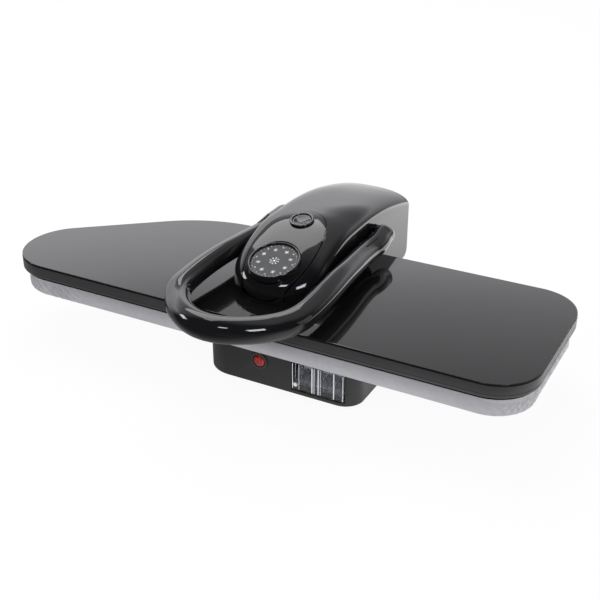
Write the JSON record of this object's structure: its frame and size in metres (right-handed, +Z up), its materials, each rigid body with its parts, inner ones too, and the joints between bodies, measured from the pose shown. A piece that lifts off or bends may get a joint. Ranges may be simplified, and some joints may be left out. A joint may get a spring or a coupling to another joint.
{
  "type": "table-top steam press",
  "caption": "Table-top steam press for trousers: padded board, hinged heated platen with loop handle, control disc, steam button and water tank.",
  "frame": {"origin": "on the table, under the head's plane of symmetry, at the middle of the platen's depth", "axes": "+Z up, +X towards the platen's square end, -Y towards the user"},
  "size_m": [0.66, 0.4105, 0.162],
  "materials": {
    "base_plastic": "satin",
    "foot_rubber": "matte",
    "zinc_screw": "satin",
    "zinc_sheet": "satin",
    "bright_steel": "gloss",
    "spring_steel": "satin",
    "pad_foam": "matte",
    "silver_fabric": "satin",
    "white_cord": "matte",
    "pump_black": "satin",
    "black_fitting": "satin",
    "silicone_hose": "satin",
    "circuit_board": "satin",
    "red_lens": "gloss",
    "dark_steel": "satin",
    "clear_tank": "gloss",
    "red_silicone": "matte",
    "white_plastic": "satin",
    "gloss_black": "gloss",
    "bronze_bush": "satin",
    "disc_grey": "satin",
    "white_lens": "gloss",
    "button_black": "gloss",
    "cable_black": "satin",
    "cover_black": "gloss",
    "ceramic_wool": "matte",
    "alu_sheet": "gloss",
    "alu_plate": "satin",
    "element_steel": "matte",
    "alu_cast": "matte",
    "brass": "satin",
    "ceramic": "satin"
  },
  "bodies": {
    "base": {"base_housing": "base_plastic", "base_bottom_cover": "base_plastic", "rubber_feet": "foot_rubber", "base_screws": "zinc_screw", "hinge_bracket": "zinc_sheet", "hinge_stubs": "bright_steel", "hinge_clips": "spring_steel", "lift_springs": "spring_steel", "link_pin": "bright_steel", "board_pan": "zinc_sheet", "foam_pad": "pad_foam", "fabric_cover": "silver_fabric", "cover_drawcord": "white_cord", "water_pump": "pump_black", "pump_mounts": "foot_rubber", "tank_receptacle": "black_fitting", "pump_hose": "silicone_hose", "power_board": "circuit_board", "switch_bezel": "black_fitting", "mains_inlet": "black_fitting"},
    "head": {"head_shell": "gloss_black", "head_arm": "zinc_sheet", "hinge_bushes": "bronze_bush", "pivot_bushes": "bronze_bush", "control_trim": "gloss_black", "disc_bezel": "gloss_black", "control_disc": "disc_grey", "indicator_lenses": "white_lens", "control_board": "circuit_board", "button_bezel": "black_fitting", "button_spring": "spring_steel", "steam_microswitch": "black_fitting", "riser_hose": "silicone_hose", "wiring_loom": "cable_black", "platen_cover": "cover_black", "insulation_blanket": "ceramic_wool", "heat_shield": "alu_sheet", "soleplate": "alu_plate", "heating_element": "element_steel", "steam_chamber": "alu_cast", "steam_nozzle": "brass", "thermostat": "ceramic", "thermal_fuse": "ceramic", "platen_screws": "zinc_screw", "arm_screws": "zinc_screw"},
    "handle": {"handle_loop": "gloss_black", "handle_shaft": "bright_steel", "handle_cranks": "dark_steel", "crank_pin": "bright_steel"},
    "link": {"pressure_link": "dark_steel"},
    "button": {"steam_button": "button_black"},
    "rocker": {"power_rocker": "red_lens"},
    "tank": {"water_tank": "clear_tank", "tank_top": "base_plastic", "tank_valve_seat": "black_fitting"},
    "cap": {"tank_cap": "base_plastic", "tank_cap_seal": "red_silicone"},
    "valve": {"tank_valve_plunger": "white_plastic"}
  },
  "joints": [
    {"name": "head_hinge", "type": "hinge", "parent": "base", "child": "head", "pos_m": [0, 0.19, 0.062], "axis": [-1, 0, 0], "range_deg": [0, 50]},
    {"name": "handle_pivot", "type": "hinge", "parent": "head", "child": "handle", "pos_m": [0, 0.111, 0.126], "axis": [-1, 0, 0], "range_deg": [0, 24.15]},
    {"name": "link_swing", "type": "hinge", "parent": "base", "child": "link", "pos_m": [0, 0.1992, 0.0543], "axis": [-1, 0, 0], "range_deg": [0, 38.25]},
    {"name": "steam_button_press", "type": "slide", "parent": "head", "child": "button", "axis": [0, 0.2079, -0.9781], "range_m": [0, 0.0022]},
    {"name": "power_rocker_tilt", "type": "hinge", "parent": "base", "child": "rocker", "pos_m": [0.0108, -0.079, 0.0345], "axis": [1, 0, 0], "range_deg": [-1.8, 1.8]},
    {"name": "tank_slide", "type": "slide", "parent": "base", "child": "tank", "axis": [0, -1, 0], "range_m": [0, 0.125]},
    {"name": "tank_cap_turn", "type": "hinge", "parent": "tank", "child": "cap", "pos_m": [0.084, -0.04, 0.046], "axis": [0, 0, 1], "range_deg": [0, 90]},
    {"name": "valve_slide", "type": "slide", "parent": "tank", "child": "valve", "axis": [0, 1, 0], "range_m": [0, 0.0005]}
  ],
  "couplings": [
    {"joint": "handle_pivot", "follows": "head_hinge", "ratio": 0.483},
    {"joint": "link_swing", "follows": "head_hinge", "ratio": 0.765},
    {"joint": "valve_slide", "follows": "tank_slide", "ratio": 0.004}
  ]
}
